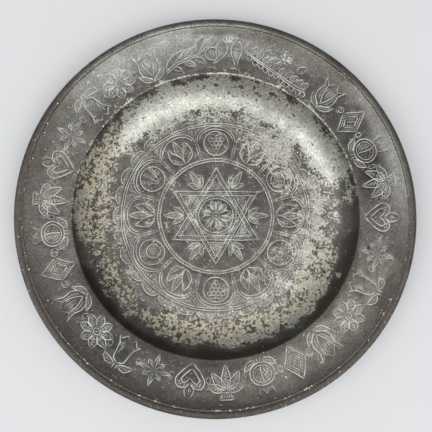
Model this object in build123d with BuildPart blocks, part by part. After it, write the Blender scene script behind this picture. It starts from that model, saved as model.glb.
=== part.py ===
from build123d import *
import os

# A broad-rimmed pewter plate, cast in one piece and turned on a lathe.
# The base is down and the well opens upwards along +Z. The origin is the middle of the base.

# Widths, as diameters seen from above
plate_diameter = 350 * MM
well_diameter = 252 * MM
floor_diameter = 194 * MM

# Widths of the bead and the reed that run round the edge, and how much of the flange inside them is
# even, before it curves up
bead_width = 1.4 * MM
reed_width = 6.4 * MM
flange_even_share = 24 / 41.2

# Heights of the well under the flange, of the flange's rise to the bead, and of bead and reed
well_depth = 20 * MM
flange_rise = 4.6 * MM
bead_height = 0.35 * MM
reed_height = 0.65 * MM
flange_slope = 3.5

# The wall is even from the floor to the edge.
metal_thickness = 2.2 * MM

# Roundings of the break between well and flange, and of the edge
break_rounding = 1.6 * MM
edge_rounding = 0.7 * MM

# Points of the wall's upper face, as distance from the axis and height over the base
plate_radius = plate_diameter / 2
floor_end = Vector(floor_diameter / 2, metal_thickness)
break_point = Vector(well_diameter / 2, metal_thickness + well_depth)
edge_point = Vector(plate_radius, break_point.Y + flange_rise)
valley_point = edge_point - Vector(reed_width, 0)
margin_point = valley_point - Vector(bead_width, 0)
flange_even_width = flange_even_share * (margin_point.X - break_point.X)
bend_point = break_point + Vector(flange_even_width, 0).rotate(Axis.Z, flange_slope)

with BuildPart() as plate:
    with BuildSketch(Plane.XZ) as section:
        # The wall. The flange is even at first and then curves up to the level band at the edge.
        with BuildLine():
            floor_line = Line((0, metal_thickness), floor_end)
            TangentArc(floor_end, break_point, tangent=floor_line % 1)
            flange_line = Line(break_point, bend_point)
            TangentArc(bend_point, margin_point, tangent=flange_line % 1)
            Line(margin_point, edge_point)
            offset(amount=metal_thickness, side=Side.RIGHT)
        make_face()
        under_break = section.vertices().sort_by_distance(break_point)[1]
        fillet(under_break, radius=break_rounding + metal_thickness)
        fillet(section.vertices().sort_by_distance(break_point)[0], radius=break_rounding)

        # The bead and the reed are low rounded ridges that stand on the level band.
        with BuildLine():
            ThreePointArc(margin_point, (margin_point + valley_point) / 2 + (0, bead_height), valley_point)
            ThreePointArc(valley_point, (valley_point + edge_point) / 2 + (0, reed_height), edge_point)
            Polyline(edge_point, edge_point - (0, metal_thickness / 2), margin_point)
        make_face()
        fillet(section.vertices().group_by(Axis.X)[-1], radius=edge_rounding)
    revolve(axis=Axis.Z)

plate.part.label = "plate"

os.makedirs("parts", exist_ok=True)
export_step(plate.part, "parts/plate.step")
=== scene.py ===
"""An old engraved pewter plate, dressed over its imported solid.

Blender works in metres. Every size of the plate, its engraving and its finishes is written here in
millimetres, and MM turns it into metres where it is used. Lamps and paper have theirs in metres.
"""

from __future__ import annotations

import logging
import math
import random
from collections.abc import Callable, Iterable, Sequence
from dataclasses import dataclass, field
from enum import Enum

import bmesh
import bpy
from mathutils import Matrix, Vector, noise
from mathutils.geometry import delaunay_2d_cdt

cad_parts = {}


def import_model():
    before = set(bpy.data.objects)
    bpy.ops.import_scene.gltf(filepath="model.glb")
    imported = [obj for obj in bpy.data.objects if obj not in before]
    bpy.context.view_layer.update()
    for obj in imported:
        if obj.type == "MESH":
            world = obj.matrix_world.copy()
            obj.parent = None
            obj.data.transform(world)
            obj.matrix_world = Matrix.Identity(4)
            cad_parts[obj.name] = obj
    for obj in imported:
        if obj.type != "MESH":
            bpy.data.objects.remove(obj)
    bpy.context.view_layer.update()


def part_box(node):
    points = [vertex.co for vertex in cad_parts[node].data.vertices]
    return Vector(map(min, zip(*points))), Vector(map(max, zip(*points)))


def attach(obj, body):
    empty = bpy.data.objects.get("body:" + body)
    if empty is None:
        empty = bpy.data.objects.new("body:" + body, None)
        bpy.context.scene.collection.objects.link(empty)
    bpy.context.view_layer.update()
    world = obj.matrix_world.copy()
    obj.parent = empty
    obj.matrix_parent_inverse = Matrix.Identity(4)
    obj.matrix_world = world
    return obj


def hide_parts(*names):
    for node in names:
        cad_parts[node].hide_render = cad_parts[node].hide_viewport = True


MM = 0.001
FULL_TURN = 2 * math.pi
# How much narrower the dressed plate is than its solid, in millimetres, so that it stays inside it.
INSIDE_SOLID = 0.005
# Start of the vector noise, which Blender takes from the clock where it isn't given.
NOISE_SEED = 3
Point = tuple[float, float]
# A sheet turns a place drawn on it into one on the plate, both in millimetres.
Sheet = Callable[[float, float], Point]
Mesh = bmesh.types.BMesh
Vertex = bmesh.types.BMVert
Tree = bpy.types.NodeTree
Node = bpy.types.Node

log = logging.getLogger("plate")


class Slot(Enum):
    """Which finish a face of the plate wears."""

    UPPER = 0
    CUT = 1
    UNDER = 2


class Fill(Enum):
    """How a closed shape is filled by the graver."""

    HATCH = "parallel lines"
    CROSS = "lines both ways"
    WRIGGLE = "one line rocked from side to side"


@dataclass
class PlateForm:
    """The plate's section, as it was cast and turned. All lengths are in millimetres.

    Args:
        diameter: width over the edge.
        well_diameter: width of the well where it meets the flange.
        floor_diameter: width of the flat floor.
        flange_even_width: width of the even part of the flange, before it curves up.
        bead_width: width of the bead inside the reed.
        reed_width: width of the low rounded ridge along the edge.
        well_depth: height of the flange's inner edge over the floor.
        flange_rise: height that the flange gains from the well to the bead.
        bead_height: height of the bead over the level band that it stands on.
        reed_height: height of the reed over the same band.
        flange_slope: slope of the even part in degrees.
        metal: thickness of the wall.
        break_rounding: radius between well and flange.
        edge_rounding: radius of the outer edge.
        flange_stretch: length of the way up the flange, as a share of its width in plan.
        edge_band: width of the outer edge's band, where the way along the upper face turns down.
    """

    diameter: float
    well_diameter: float = 252.0
    floor_diameter: float = 194.0
    flange_even_width: float = 24.0
    bead_width: float = 1.4
    reed_width: float = 6.4
    well_depth: float = 20.0
    flange_rise: float = 4.6
    bead_height: float = 0.35
    reed_height: float = 0.65
    flange_slope: float = 3.5
    metal: float = 2.2
    break_rounding: float = 1.6
    edge_rounding: float = 0.7
    flange_stretch: float = 1.02
    edge_band: float = 0.6

    def __post_init__(self) -> None:
        """Works out the section's points, as distance from the axis and height, and its arcs."""
        slope = math.radians(self.flange_slope)
        self.radius = self.diameter / 2
        self.floor_end = Vector((self.floor_diameter / 2, self.metal))
        self.break_point = Vector((self.well_diameter / 2, self.metal + self.well_depth))
        self.edge_point = Vector((self.radius, self.break_point.y + self.flange_rise))
        self.margin_point = self.edge_point - Vector((self.reed_width + self.bead_width, 0.0))
        self.along_flange = Vector((math.cos(slope), math.sin(slope)))
        self.through_flange = Vector((math.sin(slope), -math.cos(slope))) * self.metal
        self.bend_point = self.break_point + self.along_flange * self.flange_even_width
        upwards = -self.through_flange.normalized()
        curve = self.margin_point - self.bend_point
        self.curve_radius = curve.length_squared / (2 * curve.dot(upwards))
        self.curve_centre = self.bend_point + upwards * self.curve_radius
        run = self.break_point.x - self.floor_end.x
        self.bouge_radius = (run**2 + self.well_depth**2) / (2 * self.well_depth)

    def flange_height(self, radius: float) -> float:
        """Height of the flange's upper face.

        Args:
            radius: distance from the axis.

        Returns:
            The height over the table.
        """
        if radius < self.bend_point.x:
            run = radius - self.break_point.x
            return self.break_point.y + run * self.along_flange.y / self.along_flange.x
        reach = min(radius, self.margin_point.x) - self.curve_centre.x
        return self.curve_centre.y - math.sqrt(self.curve_radius**2 - reach**2)

    def well_side(self, offset: float, steps: int) -> list[Vector]:
        """The arc of the well's side, from the floor up to where it meets the flange.

        Args:
            offset: distance from the upper face, 0 for that face and the metal for the underside.
            steps: number of stretches.

        Returns:
            Points as distance from the axis and height.
        """
        centre = self.floor_end + Vector((0, self.bouge_radius))
        reach = self.bouge_radius + offset
        start = self.break_point + self.through_flange * (offset / self.metal) - centre
        back = start.dot(self.along_flange)
        travel = math.sqrt(back**2 + reach**2 - start.length_squared) - back
        meeting = start + self.along_flange * travel
        last = math.atan2(meeting.x, -meeting.y)
        return arc(centre, reach, 0.0, last, steps)

    def under_flange(self, steps: int) -> list[Vector]:
        """The underside of the flange's curve, from the level band inwards.

        Args:
            steps: number of stretches.

        Returns:
            Points as distance from the axis and height.
        """
        reach = self.curve_radius + self.metal
        drop = self.curve_centre.y - (self.edge_point.y - self.metal)
        first = math.acos(drop / reach)
        return arc(self.curve_centre, reach, first, math.radians(self.flange_slope), steps)

    def ridge(self, start: Vector, width: float, height: float, steps: int) -> list[Vector]:
        """A low rounded ridge on the level band.

        Args:
            start: its inner edge.
            width: its width.
            height: its height.
            steps: number of stretches.

        Returns:
            Points as distance from the axis and height.
        """
        radius = (width**2 / 4 + height**2) / (2 * height)
        turn = math.asin(width / 2 / radius)
        centre = start + Vector((width / 2, height - radius))
        return arc(centre, radius, math.pi - turn, math.pi + turn, steps)[::-1]

    def upper_section(self, floor_rim: float, flange_rim: float) -> list[Vector]:
        """The plain part of the upper face between the two engraved faces.

        Args:
            floor_rim: edge of the engraved floor, as distance from the axis.
            flange_rim: inner edge of the engraved flange.

        Returns:
            The half section from the floor outwards.
        """
        line = [Vector((floor_rim, self.metal)), *self.well_side(0.0, steps=18)]
        line.append(Vector((flange_rim, self.flange_height(flange_rim))))
        return round_corner(line, self.break_point, self.break_rounding, steps=5)

    def lower_section(self, flange_rim: float) -> list[Vector]:
        """The rest of the skin, from the engraved flange over the reed and back under the plate.

        Args:
            flange_rim: outer edge of the engraved flange.

        Returns:
            The half section from the flange to the middle of the base.
        """
        line = [Vector((flange_rim, self.flange_height(flange_rim)))]
        bead = self.ridge(self.margin_point, self.bead_width, self.bead_height, steps=4)
        reed = self.ridge(bead[-1], self.reed_width, self.reed_height, steps=10)
        edge_lower = self.edge_point - Vector((0, self.metal))
        line += [*bead, *reed[1:], edge_lower, *self.under_flange(steps=5)]
        under = self.well_side(self.metal, steps=14)
        bend = line[-1]
        line += [bend.lerp(under[-1], k / 4) for k in range(1, 4)]
        line += under[::-1]
        line += [Vector((self.floor_end.x * share, 0.0)) for share in (0.75, 0.5, 0.25, 0.0)]
        for corner, radius, steps in (
            (self.edge_point, self.edge_rounding, 3),
            (edge_lower, self.edge_rounding, 3),
            (under[-1], self.break_rounding + self.metal, 5),
        ):
            line = round_corner(line, corner, radius, steps)
        return line

    def unrolled(self, radius: float, height: float) -> float:
        """Length of the way from the axis to a point along the upper face.

        Args:
            radius: the point's distance from the axis.
            height: its height.

        Returns:
            The length.
        """
        flat = min(radius, self.floor_end.x)
        side = min(max(radius - self.floor_end.x, 0.0), self.break_point.x - self.floor_end.x)
        rise = self.bouge_radius * math.asin(side / self.bouge_radius)
        flange = max(radius - self.break_point.x, 0.0) * self.flange_stretch
        at_edge = radius > self.radius - self.edge_band
        drop = max(self.edge_point.y - height, 0.0) if at_edge else 0.0
        return flat + rise + flange + drop


def arc(centre: Vector, radius: float, first: float, last: float, steps: int) -> list[Vector]:
    """Points of an arc, whose turns are measured in radians from straight down.

    Args:
        centre: its middle.
        radius: its radius.
        first: turn at its start.
        last: turn at its end.
        steps: number of stretches.

    Returns:
        The points.
    """
    turns = [first + (last - first) * k / steps for k in range(steps + 1)]
    return [centre + Vector((math.sin(t), -math.cos(t))) * radius for t in turns]


def round_corner(line: Sequence[Vector], corner: Vector, radius: float, steps: int) -> list[Vector]:
    """Replaces one corner of a line by an arc that touches both sides.

    Args:
        line: the line's points.
        corner: the corner's place.
        radius: the arc's radius.
        steps: number of stretches of the arc.

    Returns:
        The line with its rounded corner.
    """
    at = min(range(1, len(line) - 1), key=lambda k: (line[k] - corner).length)
    top = line[at]
    back, onward = (line[at - 1] - top).normalized(), (line[at + 1] - top).normalized()
    half = back.angle(onward) / 2
    reach = radius / math.tan(half)
    middle = top + (back + onward).normalized() * (radius / math.sin(half))
    start, end = top + back * reach - middle, top + onward * reach - middle
    bow = [middle + start.lerp(end, k / steps).normalized() * radius for k in range(steps + 1)]
    clear = reach * 1.05
    before = [p for p in line[:at] if (p - top).length > clear]
    after = [p for p in line[at + 1 :] if (p - top).length > clear]
    return [*before, *bow, *after]


@dataclass(frozen=True)
class Cut:
    """One stroke of the graver in plan.

    Args:
        line: its points in millimetres.
        width: its width where the graver is pressed in fully.
    """

    line: tuple[Point, ...]
    width: float


@dataclass
class Graver:
    """The engraver's hand: it collects cuts, each a little unsteady.

    Args:
        seed: start of the random draws.
        line_width: width of an outline.
        fine_width: width of a line inside a shape.
        step: longest straight stretch of a curve.
        drift: how far the drawing wanders from the true shape.
        wander: distance over which it wanders.
        overshoot: how far a side of an outline may start before its corner, as a share of its length.
        inset: how far a filling stays clear of the outline.
        longest_straight: length from which a filling's line is bent.
        bow: how far the middle of such a line may lie aside.
        second_turn: turn in degrees from the first lines of a crossed filling to the second.
        second_spacing: distance between the second lines, against the first.
    """

    seed: int = 5
    line_width: float = 0.82
    fine_width: float = 0.44
    step: float = 2.6
    drift: float = 0.5
    wander: float = 9.0
    overshoot: float = 0.06
    inset: float = 0.7
    longest_straight: float = 4.0
    bow: float = 0.3
    second_turn: float = 75.0
    second_spacing: float = 1.3
    cuts: list[Cut] = field(default_factory=list)

    def __post_init__(self) -> None:
        """Seeds the draws."""
        self.draw = random.Random(self.seed)

    def unsteady(self, point: Point) -> Point:
        """A point moved by the drift of the hand, which is alike for neighbouring points.

        Args:
            point: its true place.

        Returns:
            Its place as it is cut.
        """
        place = Vector((point[0], point[1], self.seed)) / self.wander
        shift = noise.noise_vector(place) * self.drift
        return point[0] + shift.x, point[1] + shift.y

    def smooth(self, points: Sequence[Point]) -> list[Point]:
        """A curve through the points, with no stretch longer than the hand's step.

        Args:
            points: places that the curve passes, in order.

        Returns:
            Points on the curve, the ends included.
        """
        guide = [Vector(p) for p in (points[0], *points, points[-1])]
        found = [tuple(guide[1])]
        for before, start, end, after in zip(guide, guide[1:], guide[2:], guide[3:]):
            count = max(1, round((end - start).length / self.step))
            for k in range(1, count + 1):
                t = k / count
                leave = (end - before) * 0.5
                arrive = (after - start) * 0.5
                bend = start * (2 * t**3 - 3 * t**2 + 1) + end * (3 * t**2 - 2 * t**3)
                bend += leave * (t**3 - 2 * t**2 + t) + arrive * (t**3 - t**2)
                found.append(tuple(bend))
        return found

    def cut(
        self, points: Sequence[Point], place: Sheet, width: float | None = None, curved: bool = True
    ) -> None:
        """Adds one cut.

        Args:
            points: its places on the sheet.
            place: the sheet.
            width: its full width, or None for an outline's.
            curved: whether it bends smoothly at its points.
        """
        line = self.smooth(points) if curved else list(points)
        self.cuts.append(Cut(tuple(self.unsteady(place(*p)) for p in line), width or self.line_width))

    def outline(self, corners: Sequence[Point], place: Sheet, width: float | None = None) -> None:
        """Cuts the straight or gently bent sides of a closed shape, each with a stroke of its own.

        Args:
            corners: the shape's corners in order.
            place: the sheet.
            width: the width of the cuts, or None for an outline's.
        """
        for start, end in zip(corners, [*corners[1:], corners[0]]):
            reach = self.draw.uniform(0.0, self.overshoot)
            over = (start[0] + (start[0] - end[0]) * reach, start[1] + (start[1] - end[1]) * reach)
            middle = ((start[0] + end[0]) / 2, (start[1] + end[1]) / 2)
            self.cut([over, middle, end], place, width)

    def ring(self, centre: Point, radius: float, place: Sheet, width: float | None = None) -> None:
        """Cuts a circle in one sweep whose ends pass each other.

        Args:
            centre: its middle on the sheet.
            radius: its radius.
            place: the sheet.
            width: the width of the cut, or None for an outline's.
        """
        first = self.draw.uniform(0, FULL_TURN)
        count = max(8, round(FULL_TURN * radius / self.step))
        turns = [first + FULL_TURN * k / count for k in range(count + 2)]
        self.cut([polar(turn, radius, centre) for turn in turns], place, width)

    def leaf(
        self,
        foot: Point,
        tip: Point,
        width: float,
        place: Sheet,
        bend: float = 0.0,
        way: Fill | None = Fill.HATCH,
        angle: float = 90.0,
        spacing: float = 1.1,
        widths: tuple[float | None, float | None] = (None, None),
    ) -> None:
        """Cuts the two edges of a leaf or petal and fills it.

        Args:
            foot: where it grows.
            tip: its point.
            width: its greatest width.
            place: the sheet.
            bend: sideways bow of its midrib.
            way: the kind of filling, or None for none.
            angle: direction of the filling's lines in degrees.
            spacing: distance between them.
            widths: the widths of its left and right cut, or None for an outline's.
        """
        left_edge, right_edge = leaf_edges(foot, tip, width, bend)
        self.cut(left_edge, place, widths[0])
        self.cut(right_edge, place, widths[1])
        if way is not None:
            self.fill([*left_edge, *reversed(right_edge)], place, way, angle, spacing)

    def chords(self, shape: Sequence[Point], angle: float, spacing: float) -> list[tuple[Point, Point]]:
        """Parallel lines across a closed shape.

        Args:
            shape: the shape's outline.
            angle: the lines' direction in degrees.
            spacing: distance between lines.

        Returns:
            The two ends of each line.
        """
        along = Vector(polar(math.radians(angle), 1.0))
        across = Vector((-along.y, along.x))
        turned = [(Vector(p).dot(along), Vector(p).dot(across)) for p in shape]
        lowest = min(p[1] for p in turned)
        highest = max(p[1] for p in turned)
        found = []
        level = lowest + spacing * self.draw.uniform(0.4, 0.7)
        while level < highest:
            marks = []
            for (x0, y0), (x1, y1) in zip(turned, [*turned[1:], turned[0]]):
                if (y0 > level) != (y1 > level):
                    marks.append(x0 + (level - y0) * (x1 - x0) / (y1 - y0))
            marks.sort()
            for left, right in zip(marks[::2], marks[1::2]):
                if right - left > 2.4 * self.inset:
                    start = along * (left + self.inset) + across * level
                    end = along * (right - self.inset) + across * level
                    found.append((tuple(start), tuple(end)))
            level += spacing * self.draw.uniform(0.8, 1.2)
        return found

    def fill(
        self,
        shape: Sequence[Point],
        place: Sheet,
        way: Fill = Fill.HATCH,
        angle: float = 60.0,
        spacing: float = 1.5,
    ) -> None:
        """Fills a closed shape with fine lines.

        Args:
            shape: the shape's outline on the sheet.
            place: the sheet.
            way: the kind of filling.
            angle: direction of its lines in degrees.
            spacing: distance between its lines.
        """
        lines = self.chords(shape, angle, spacing)
        if way is Fill.WRIGGLE:
            turns = [(end if k % 2 else start) for k, (start, end) in enumerate(lines)]
            longest = 4 * spacing + 8
            lines = [leg for leg in zip(turns, turns[1:]) if math.dist(*leg) < longest]
        if way is Fill.CROSS:
            lines += self.chords(shape, angle + self.second_turn, spacing * self.second_spacing)
        for start, end in lines:
            aside = self.draw.uniform(-self.bow, self.bow)
            middle = ((start[0] + end[0]) / 2 + aside, (start[1] + end[1]) / 2 - aside)
            ends = (start, middle, end) if math.dist(start, end) > self.longest_straight else (start, end)
            self.cut(ends, place, self.fine_width, curved=False)

    def dots(self, places: Iterable[Point], place: Sheet, length: float = 1.3) -> None:
        """Short flicks of the graver.

        Args:
            places: their middles on the sheet.
            place: the sheet.
            length: length of a flick.
        """
        for x, y in places:
            turn = self.draw.uniform(0, math.pi)
            dx, dy = polar(turn, length / 2)
            self.cut([(x - dx, y - dy), (x + dx, y + dy)], place, curved=False)


def polar(turn: float, radius: float, centre: Point = (0.0, 0.0)) -> Point:
    """The place at this turn in radians and this distance from a centre."""
    return centre[0] + radius * math.cos(turn), centre[1] + radius * math.sin(turn)


def disc(radius: float, centre: Point = (0.0, 0.0)) -> list[Point]:
    """The rough outline of a round shape to be filled, a point for each radian."""
    return [polar(turn, radius, centre) for turn in range(7)]


def leaning(angle: float) -> Vector:
    """The direction on a sheet that leans this many degrees from upright to the right."""
    return Vector((math.sin(math.radians(angle)), math.cos(math.radians(angle))))


def mirrored(points: Sequence[Point], sign: int) -> list[Point]:
    """The points, or their mirror image on the left of the sheet's middle if the sign is -1."""
    return [(sign * x, y) for x, y in points]


def leaf_edges(
    foot: Point, tip: Point, width: float, bend: float = 0.0
) -> tuple[list[Point], list[Point]]:
    """The two edges of a leaf.

    Args:
        foot: where it grows.
        tip: its point.
        width: its greatest width.
        bend: sideways bow of its midrib.

    Returns:
        The left edge and the right edge, both from foot to tip.
    """
    start, end = Vector(foot), Vector(tip)
    along = end - start
    side = Vector((-along.y, along.x)).normalized()
    shares = ((0.0, 0.0), (0.2, 0.72), (0.45, 1.0), (0.75, 0.6), (1.0, 0.0))
    edges = []
    for sign in (1, -1):
        offsets = [sign * width / 2 * w + bend * math.sin(math.pi * t) for t, w in shares]
        edges.append([tuple(start + along * t + side * out) for (t, _), out in zip(shares, offsets)])
    return edges[0], edges[1]


@dataclass
class Border:
    """The band of ornaments round the flange, and the sprigs and fish at its top.

    Args:
        graver: the hand that cuts it.
        inner_radius: distance from the axis to the ornaments' feet.
        height: how far they reach outwards.
        middle_radius: where their widths are true.
        breadth: how much wider the ornaments are cut than they are drawn.
        tallness: how much taller they are cut.
        first_angle: place of the first ornament in degrees, counter-clockwise from the right.
        last_angle: place of the last one, going clockwise.
        count: number of ornaments.
        stray: how far an ornament may stand from its even place, in degrees.
        fish_angle: place of the two fish.
        left_sprig_angle: place of the sprig on their left.
        right_sprig_angle: place of the sprig on their right.
    """

    graver: Graver
    inner_radius: float = 129.6
    height: float = 28.0
    middle_radius: float = 144.5
    breadth: float = 1.2
    tallness: float = 1.08
    first_angle: float = 47.0
    last_angle: float = -245.0
    count: int = 25
    stray: float = 0.5
    fish_angle: float = 85.5
    left_sprig_angle: float = 99.0
    right_sprig_angle: float = 67.0

    def sheet(self, angle: float, turned: bool = False) -> Sheet:
        """A sheet on the flange.

        Args:
            angle: where its middle stands, in degrees.
            turned: whether its foot is on the outside.

        Returns:
            The sheet, with x along the rim and y away from the plate's middle.
        """
        start = math.radians(angle)

        def place(x: float, y: float) -> Point:
            """A place on the sheet in plan."""
            reach = self.inner_radius + (self.height - y if turned else y) * self.tallness
            return polar(start - x * self.breadth / self.middle_radius, reach)

        return place

    def engrave(self) -> None:
        """Cuts the whole border."""
        first_half = (self.tulip, self.lozenge, self.pomegranate, self.palmette)
        drawings = (*first_half, self.heart, self.star, self.bell, self.rosette)
        pitch = (self.last_angle - self.first_angle) / (self.count - 1)
        for k in range(self.count):
            angle = self.first_angle + pitch * k + self.graver.draw.uniform(-self.stray, self.stray)
            drawing = drawings[k % len(drawings)]
            drawing(self.sheet(angle, turned=k % 2 == 1 and drawing != self.pomegranate))
            if k:
                self.separator(self.sheet(angle - pitch / 2))
        self.fish_pair(self.sheet(self.fish_angle))
        self.left_sprig(self.sheet(self.left_sprig_angle))
        self.right_sprig(self.sheet(self.right_sprig_angle))

    def separator(self, place: Sheet) -> None:
        """A small lozenge between two dots, between two ornaments.

        Args:
            place: the sheet it is drawn on.
        """
        small = [(0, 9.6), (1.9, 13.0), (0, 16.8), (-1.9, 13.0)]
        self.graver.outline(small, place, self.graver.fine_width)
        self.graver.dots([(0, 6.0), (0, 20.0)], place)

    def tulip(self, place: Sheet) -> None:
        """A tulip with three petals between two leaves.

        Args:
            place: the sheet it is drawn on.
        """
        g = self.graver
        right = [(0, 3.5), (5.5, 6.5), (7.8, 13.0), (6.6, 19.0), (8.6, 27.0)]
        notch = [(8.6, 27.0), (4.2, 21.5), (0, 27.5)]
        rib = [(4.2, 21.5), (3.2, 13.0), (0, 5.0)]
        petal = [(4.4, 20.5), (3.4, 13.0), (1.2, 6.4), (5.5, 7.5), (7.0, 13.0), (6.0, 19.0), (7.6, 25.0)]
        middle = [(0, 8.0), (2.4, 13.0), (3.2, 20.5), (0, 25.5), (-3.2, 20.5), (-2.4, 13.0)]
        for sign in (1, -1):
            g.cut(mirrored(right, sign), place)
            g.cut(mirrored(notch, sign), place, curved=False)
            g.cut(mirrored(rib, sign), place)
            g.fill(mirrored(petal, sign), place, Fill.WRIGGLE, 12.0, 1.05)
            g.leaf((0, 1.0), (sign * 10.5, 10.5), 4.2, place, -sign * 1.5, spacing=1.2)
        g.fill(middle, place, Fill.HATCH, 90, 1.1)
        g.cut([(0, -0.4), (0, 4.0)], place)

    def pomegranate(self, place: Sheet) -> None:
        """A round fruit with its crown, one half hatched and one half seeded.

        Args:
            place: the sheet it is drawn on.
        """
        g = self.graver
        middle = (0.0, 12.6)
        outer, inner, field_radius = 9.0, 6.8, 6.6
        g.ring(middle, outer, place)
        g.ring(middle, inner, place, g.fine_width)
        crown = [(-3.6, 20.8), (-5.4, 27.5), (-2.2, 24.4), (0, 28.0), (2.2, 24.4), (5.4, 27.5), (3.6, 20.8)]
        g.cut(crown, place, curved=False)
        half = [polar(math.pi * (0.5 + k / 10), field_radius, middle) for k in range(11)]
        g.fill(half, place, Fill.CROSS, 35, 1.5)
        g.cut([(0, middle[1] - field_radius), (0.6, middle[1]), (0, middle[1] + field_radius)], place)
        g.dots([(2.4, 9.0), (2.6, 12.4), (2.2, 16.0), (4.6, 10.8), (4.7, 14.4)], place)
        for sign in (1, -1):
            g.cut(mirrored([(0.8, 3.6), (1.2, 1.4), (2.0, -0.6)], sign), place)
            g.leaf((sign * 2.6, 1.0), (sign * 12.4, 9.6), 4.6, place, -sign * 1.2)

    def lozenge(self, place: Sheet) -> None:
        """A tall lozenge in a lozenge, with a small one on each side.

        Args:
            place: the sheet it is drawn on.
        """
        g = self.graver
        outer = [(0, 0.0), (8.4, 14.0), (0, 28.0), (-8.4, 14.0)]
        inner = [(0, 6.4), (4.6, 14.0), (0, 21.6), (-4.6, 14.0)]
        half = [(0, 0.8), (8.0, 14.0), (0, 27.2), (0, 21.8), (4.8, 14.0), (0, 6.2)]
        side = [(9.2, 14.0), (11.4, 10.6), (13.2, 14.0), (11.4, 17.4)]
        g.outline(outer, place)
        g.outline(inner, place)
        for sign in (1, -1):
            g.fill(mirrored(half, sign), place, Fill.WRIGGLE, 0.0, 1.05)
        g.fill(inner, place, Fill.CROSS, 45, 1.8)
        for sign in (1, -1):
            g.outline(mirrored(side, sign), place)

    def heart(self, place: Sheet) -> None:
        """A heart in a heart under a bud.

        Args:
            place: the sheet it is drawn on.
        """
        g = self.graver
        right = [(0, 0.6), (6.0, 7.0), (10.4, 14.6), (8.0, 20.6), (3.4, 20.2), (0, 15.8)]
        inside = [(0, 5.2), (3.8, 9.6), (6.6, 14.4), (5.0, 17.2), (2.2, 15.6), (0, 12.0)]
        for sign in (1, -1):
            g.cut(mirrored(right, sign), place)
            g.cut(mirrored(inside, sign), place)
            g.fill(mirrored([*right, *reversed(inside)], sign), place, Fill.WRIGGLE, 90 - sign * 40, 1.1)
            bud_edge = leaf_edges((0, 17.5), (sign * 1.2, 28.0), 5.6)[0 if sign < 0 else 1]
            g.cut(bud_edge, place)
        g.fill([(-2.2, 22.0), (0, 18.6), (2.2, 22.0), (0, 27.0)], place, Fill.HATCH, 90, 1.2)
        g.dots([(0, 9.2), (2.6, 12.6), (-2.6, 12.6)], place)

    def rosette(self, place: Sheet) -> None:
        """A flower of eight petals, hatched and wriggled in turn.

        Args:
            place: the sheet it is drawn on.
        """
        g = self.graver
        middle = (0.0, 14.0)
        g.ring(middle, 2.6, place)
        g.fill(disc(2, middle), place, Fill.CROSS, 20, 1.2)
        for k in range(8):
            turn = FULL_TURN * (k + 0.5) / 8
            foot, tip = (tuple(Vector(middle) + Vector(polar(turn, 1.0)) * reach) for reach in (2.8, 13.6))
            way = Fill.WRIGGLE if k % 2 else Fill.HATCH
            g.leaf(foot, tip, 7.0, place, way=way, angle=math.degrees(turn) + 90, spacing=1.05)

    def palmette(self, place: Sheet) -> None:
        """A fan of five leaves over a hatched foot.

        Args:
            place: the sheet it is drawn on.
        """
        g = self.graver
        fan = ((-66.0, 14.5), (-34.0, 19.0), (0.0, 22.0), (34.0, 19.0), (66.0, 14.5))
        for k, (lean, length) in enumerate(fan):
            foot, tip = (tuple(Vector((0, 5.6)) + leaning(lean) * reach) for reach in (1.5, length))
            way = Fill.HATCH if k % 2 else Fill.WRIGGLE
            g.leaf(foot, tip, 6.4, place, way=way, angle=-lean, spacing=1.05)
        foot_shape = [(-4.6, 0.0), (4.6, 0.0), (2.6, 5.2), (-2.6, 5.2)]
        g.outline(foot_shape, place)
        g.fill(foot_shape, place, Fill.HATCH, 90, 1.2)

    def star(self, place: Sheet) -> None:
        """A star of eight rays, long and short in turn, each with one hatched side.

        Args:
            place: the sheet it is drawn on.
        """
        g = self.graver
        middle = Vector((0.0, 14.0))
        for k in range(8):
            turn = FULL_TURN * k / 8
            tip = middle + Vector(polar(turn, 1.0)) * (9.6 if k % 2 else 13.8)
            for side in (-1, 1):
                dip = middle + Vector(polar(turn + side * FULL_TURN / 16, 1.0)) * 5.4
                g.cut([tuple(dip), tuple(tip)], place, curved=False)
            g.cut([tuple(middle), tuple(tip)], place, g.fine_width, curved=False)
            half = [tuple(middle), tuple(dip), tuple(tip)]
            g.fill(half, place, Fill.HATCH, math.degrees(turn) + 62, 1.05)
        g.dots([(9.8, 3.6), (-9.8, 3.6), (9.8, 24.4), (-9.8, 24.4)], place)

    def bell(self, place: Sheet) -> None:
        """A bellflower that hangs from a double stalk, with two leaves.

        Args:
            place: the sheet it is drawn on.
        """
        g = self.graver
        right = [(0, 22.4), (3.8, 20.4), (5.2, 14.0), (6.4, 8.0), (10.2, 3.2)]
        lip = [(10.2, 3.2), (6.8, 4.6), (3.6, 0.6), (0, 4.4)]
        for sign in (1, -1):
            g.cut(mirrored(right, sign), place)
            g.cut(mirrored(lip, sign), place, curved=False)
            g.cut(mirrored([(0.9, 22.6), (1.2, 28.0)], sign), place, curved=False)
            g.leaf((sign * 1.2, 24.6), (sign * 11.6, 20.6), 4.8, place, sign * 1.4, angle=60, spacing=1.4)
        left_half = [(-2.6, 20.6), (-4.2, 14.6), (-6.2, 6.6), (-3.4, 3.6)]
        body = [(2.6, 20.6), *left_half, (0, 6.4), *reversed(mirrored(left_half[1:], -1))]
        g.fill(body, place, Fill.WRIGGLE, 84, 1.05)

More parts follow.
